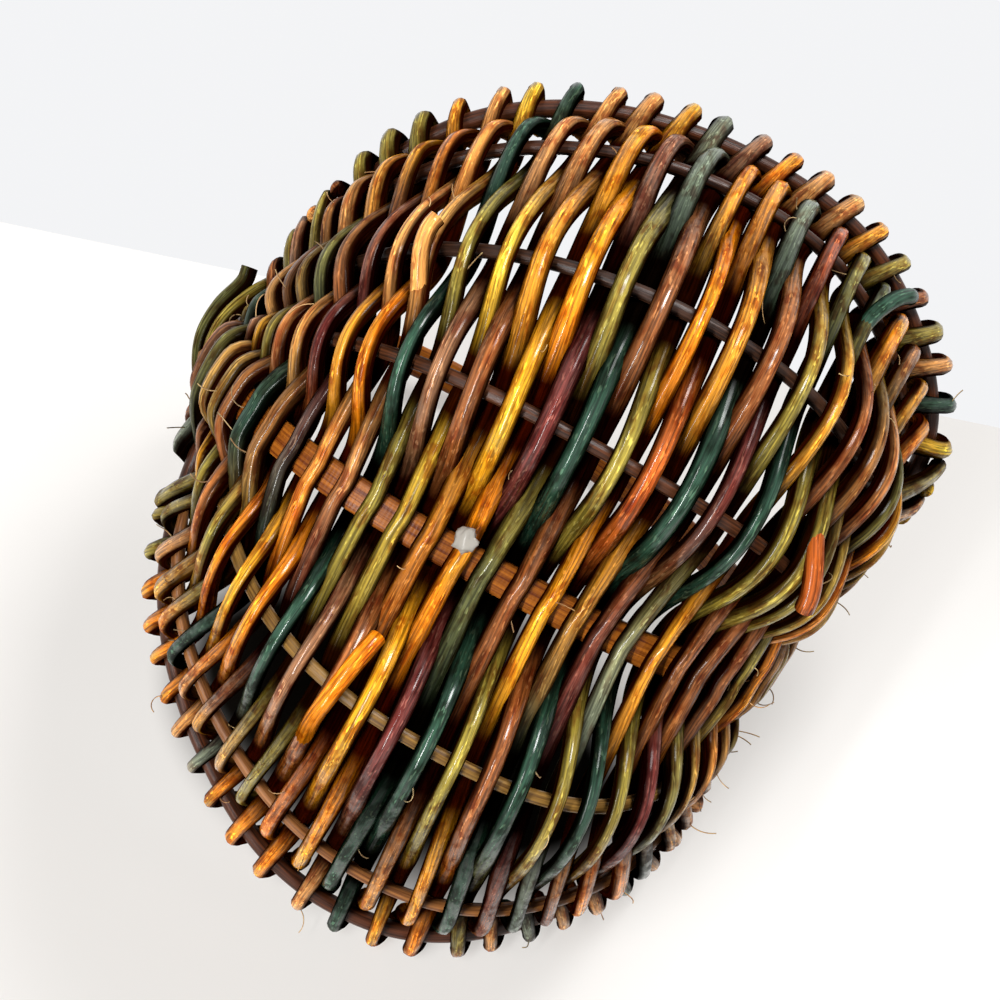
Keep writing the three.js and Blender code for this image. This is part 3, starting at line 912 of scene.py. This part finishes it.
# The table's far edge crosses the picture's left and right sides at these heights
far_left = on_table(-1, 0.556)
far_right = on_table(1, 0.144)
back_edge = (far_right - far_left).normalized()
place = Matrix((back_edge, table_up.cross(back_edge), table_up)).transposed().to_4x4()
place.translation = (far_left + far_right) / 2 - table_up.cross(back_edge) * TABLE_SIZE
bmesh.ops.create_grid(table, x_segments=2, y_segments=2, size=TABLE_SIZE, matrix=place)
table_mesh = bpy.data.meshes.new("table")
table.to_mesh(table_mesh)
table.free()
floor = bpy.data.objects.new("table", table_mesh)
scene.collection.objects.link(floor)
floor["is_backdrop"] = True
paint = bpy.data.materials.new("white_table")
paint.use_nodes = True
tree = paint.node_tree
link = tree.links.new
surface = tree.nodes["Principled BSDF"]
surface.inputs["Roughness"].default_value = 0.6
surface.inputs["Specular IOR Level"].default_value = 0.0
surface.inputs["Emission Color"].default_value = (1, 0.97, 0.93, 1)
clear = add_node(tree, "BsdfTransparent")
direct = directly_seen(tree)
geometry = add_node(tree, "NewGeometry")
white = add_node(tree, "MapRange", {"To Max": 0.47})
solid = add_node(tree, "MapRange", {"To Min": 0.6})
front = add_node(tree, "Math", operation="SUBTRACT", use_clamp=True)
choose = add_node(tree, "MixShader")
link(direct, white.inputs["Value"])
# Painted shadow: within an ellipse behind the narrow lobe the table is near black and does not glow
where = add_node(tree, "TexCoord")
left = add_node(tree, "VectorMath", operation="DISTANCE")
left.inputs[1].default_value = on_table(*SHADE_ENDS[0])
right = add_node(tree, "VectorMath", operation="DISTANCE")
right.inputs[1].default_value = on_table(*SHADE_ENDS[1])
reach = add_node(tree, "Math", operation="ADD")
fade_start, fade_end = SHADE_EDGE
shade = add_node(
    tree, "MapRange", {"From Min": fade_start, "From Max": fade_end}, interpolation_type="SMOOTHSTEP"
)
pale = add_node(tree, "Math", operation="MULTIPLY")
link(where.outputs["Object"], left.inputs[0])
link(where.outputs["Object"], right.inputs[0])
link(left.outputs["Value"], reach.inputs[0])
link(right.outputs["Value"], reach.inputs[1])
link(reach.outputs["Value"], shade.inputs["Value"])
link(shade.outputs["Result"], pale.inputs[0])
# The painted shadow's near black colour, and the table's own pale grey
tint = add_node(tree, "Mix", data_type="RGBA")
tint.inputs["A"].default_value = (0.006, 0.005, 0.004, 1)
tint.inputs["B"].default_value = (0.42, 0.41, 0.4, 1)
link(shade.outputs["Result"], tint.inputs["Factor"])
link(tint.outputs["Result"], surface.inputs["Base Color"])
link(white.outputs["Result"], pale.inputs[1])
link(pale.outputs["Value"], surface.inputs["Emission Strength"])
link(direct, solid.inputs["Value"])
link(solid.outputs["Result"], front.inputs[0])
link(geometry.outputs["Backfacing"], front.inputs[1])
link(front.outputs["Value"], choose.inputs["Fac"])
link(clear.outputs["BSDF"], choose.inputs[1])
link(surface.outputs["BSDF"], choose.inputs[2])
link(choose.outputs["Shader"], tree.nodes["Material Output"].inputs["Surface"])
floor.data.materials.append(paint)

# Light. A soft lamp from the picture's upper right, a long narrow one from its lower left, which draws thin
# glints along the reeds, and a large one that lights the inside. The room is seen as white, and adds little.
scene.view_settings.view_transform = "Standard"
along_rows = picture_right * 0.42 + picture_up * 0.91


def add_lamp(name, toward, distance, width, power, length=None):
    """A soft lamp that faces the basket from a direction. A long one lies along the rows in the picture."""
    lamp = bpy.data.objects.new(name, bpy.data.lights.new(name, "AREA"))
    lamp.data.shape = "RECTANGLE"
    lamp.data.size = width
    lamp.data.size_y = length or width
    lamp.data.energy = power
    back = toward.normalized()
    across = along_rows.cross(back).normalized()
    turn = Matrix((across, back.cross(across), back)).transposed()
    lamp.matrix_world = Matrix.Translation(BASKET_MIDDLE + back * distance) @ turn.to_4x4()
    scene.collection.objects.link(lamp)


add_lamp("key_lamp", picture_right * 0.55 + picture_up * 0.75 - VIEW * 0.8, 1.2, width=0.4, power=14.7)
lower_left = -picture_right * 0.55 - picture_up * 0.4 - VIEW
add_lamp("front_lamp", lower_left, 1.4, width=0.07, power=28.5, length=2.0)
add_lamp("top_lamp", Vector((-0.3, -0.5, 1)), 1.4, width=0.9, power=16)
world = bpy.data.worlds.new("room")
scene.world = world
world.use_nodes = True
tree = world.node_tree
link = tree.links.new
room = tree.nodes["Background"]
room.inputs["Color"].default_value = (1, 1, 1, 1)
room.inputs["Strength"].default_value = 0.06
backdrop = add_node(tree, "Background", {"Color": (0.90, 0.905, 0.92, 1), "Strength": 1.0})
choose = add_node(tree, "MixShader")
link(directly_seen(tree), choose.inputs["Fac"])
link(room.outputs["Background"], choose.inputs[1])
link(backdrop.outputs["Background"], choose.inputs[2])
link(choose.outputs["Shader"], tree.nodes["World Output"].inputs["Surface"])
